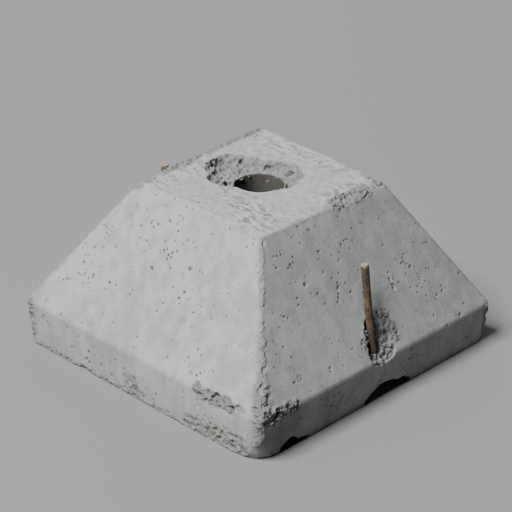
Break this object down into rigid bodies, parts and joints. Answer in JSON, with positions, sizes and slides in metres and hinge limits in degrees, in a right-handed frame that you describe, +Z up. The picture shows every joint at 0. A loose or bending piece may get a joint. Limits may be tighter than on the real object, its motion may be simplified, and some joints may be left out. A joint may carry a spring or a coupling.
{
  "type": "column base block",
  "caption": "Cast concrete base block: square plate under a cut-off pyramid, blind round hole in the top for a post, and rusty lifting bars on two sides.",
  "frame": {"origin": "middle of the underside, on the ground", "axes": "+Z up along the hole, +X towards the side with the lower of the two lifting bars, the other bar is on the -X side"},
  "size_m": [0.5042, 0.503, 0.2814],
  "materials": {
    "concrete": "rough cast concrete, pale grey, pitted with air holes, broken to a coarse grain at the edges",
    "rusty_steel": "plain round steel bar, brown with rust, matt and pitted"
  },
  "bodies": {
    "root": {"concrete_block": "concrete", "lifting_bar_right": "rusty_steel", "lifting_bar_left": "rusty_steel"}
  },
  "joints": []
}
